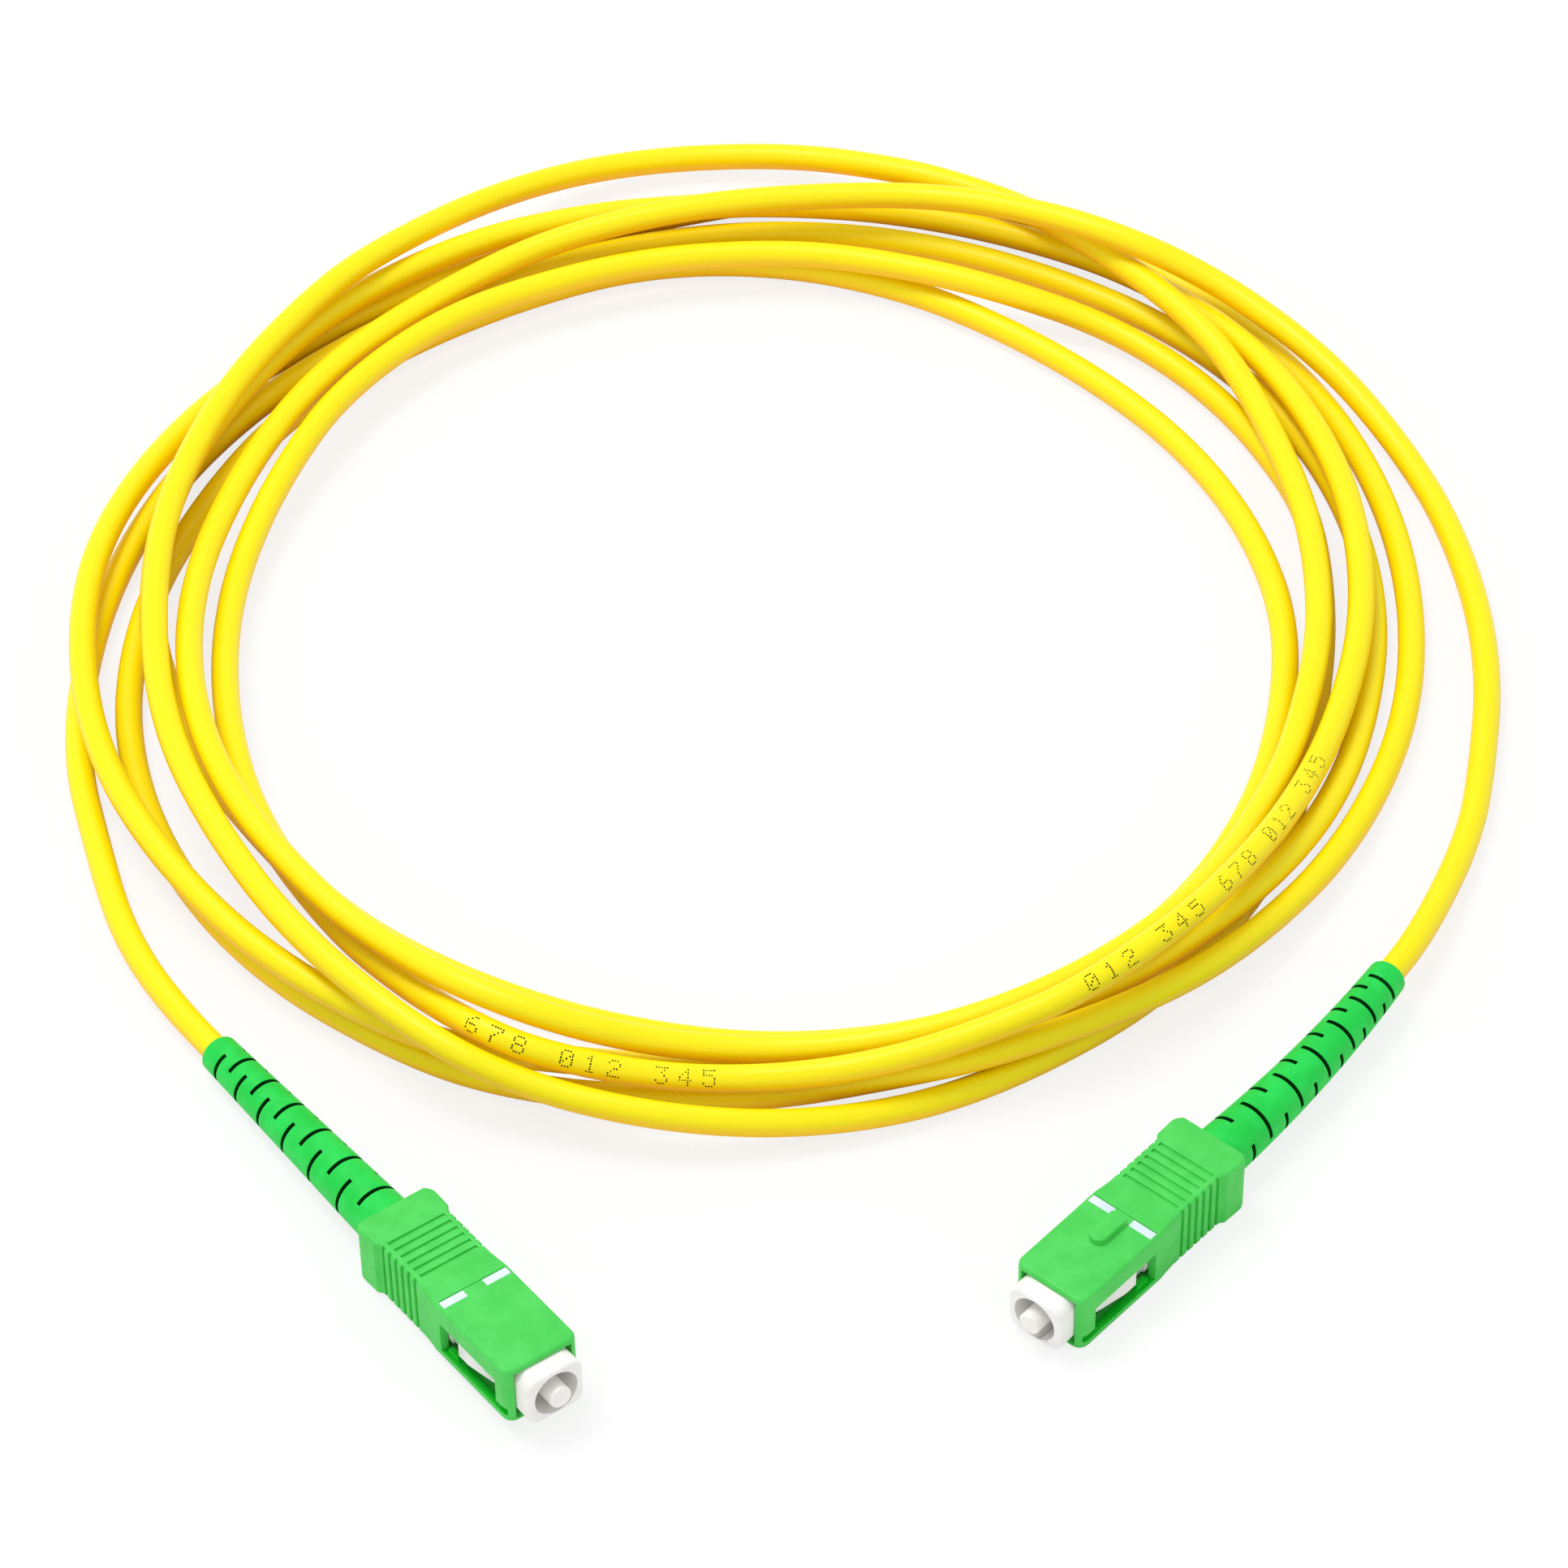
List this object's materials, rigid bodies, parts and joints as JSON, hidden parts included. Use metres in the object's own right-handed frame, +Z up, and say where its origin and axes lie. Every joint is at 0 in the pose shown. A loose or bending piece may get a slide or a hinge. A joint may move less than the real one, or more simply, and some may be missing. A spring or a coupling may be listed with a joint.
{
  "type": "fiber optic patch cord",
  "caption": "Single-fibre patch cord: about 3 m of 3 mm yellow cable in seven loose turns, with a light green push-pull plug on each end.",
  "frame": {"origin": "on the table, midway between the two plugs as they lie", "axes": "+Z up from the table, +X from the key-down plug to the key-up plug, +Y from the plugs towards the coil"},
  "size_m": [0.1572, 0.1963, 0.0127],
  "materials": {
    "light_green_plastic": "satin",
    "green_rubber": "satin",
    "white_plastic": "satin",
    "white_print": "matt",
    "zirconia": "gloss",
    "glass_fibre": "gloss",
    "nickel_brass": "satin",
    "spring_steel": "satin",
    "clear_tube": "satin",
    "white_buffer": "satin",
    "aramid": "matt",
    "yellow_jacket": "satin"
  },
  "bodies": {
    "cord": {"plug_frame_a": "white_plastic", "ferrule_spring_a": "spring_steel", "stop_ring_a": "nickel_brass", "guide_tube_a": "clear_tube", "buffer_tube_a": "white_buffer", "aramid_yarn_a": "aramid", "crimp_ring_a": "nickel_brass", "strain_relief_boot_a": "green_rubber", "plug_frame_b": "white_plastic", "ferrule_spring_b": "spring_steel", "stop_ring_b": "nickel_brass", "guide_tube_b": "clear_tube", "buffer_tube_b": "white_buffer", "aramid_yarn_b": "aramid", "crimp_ring_b": "nickel_brass", "strain_relief_boot_b": "green_rubber", "cable_lead_a": "yellow_jacket", "cable_coil": "yellow_jacket", "cable_lead_b": "yellow_jacket"},
    "housing_a": {"outer_housing_a": "light_green_plastic", "index_marks_a": "white_print"},
    "ferrule_set_a": {"ferrule_a": "zirconia", "optical_fibre_a": "glass_fibre", "ferrule_flange_a": "nickel_brass"},
    "housing_b": {"outer_housing_b": "light_green_plastic", "index_marks_b": "white_print"},
    "ferrule_set_b": {"ferrule_b": "zirconia", "optical_fibre_b": "glass_fibre", "ferrule_flange_b": "nickel_brass"}
  },
  "joints": [
    {"name": "housing_slide_a", "type": "slide", "parent": "cord", "child": "housing_a", "axis": [-0.5913, 0.805, -0.048], "range_m": [0, 0.002]},
    {"name": "ferrule_float_a", "type": "slide", "parent": "cord", "child": "ferrule_set_a", "axis": [-0.5913, 0.805, -0.048], "range_m": [0, 0.0015], "stiffness_N_per_m": 700, "springref_m": -0.0005, "deforming": ["ferrule_spring_a", "buffer_tube_a"]},
    {"name": "housing_slide_b", "type": "slide", "parent": "cord", "child": "housing_b", "axis": [0.6508, 0.7593, 0], "range_m": [0, 0.002]},
    {"name": "ferrule_float_b", "type": "slide", "parent": "cord", "child": "ferrule_set_b", "axis": [0.6508, 0.7593, 0], "range_m": [0, 0.0015], "stiffness_N_per_m": 700, "springref_m": -0.0005, "deforming": ["ferrule_spring_b", "buffer_tube_b"]}
  ]
}
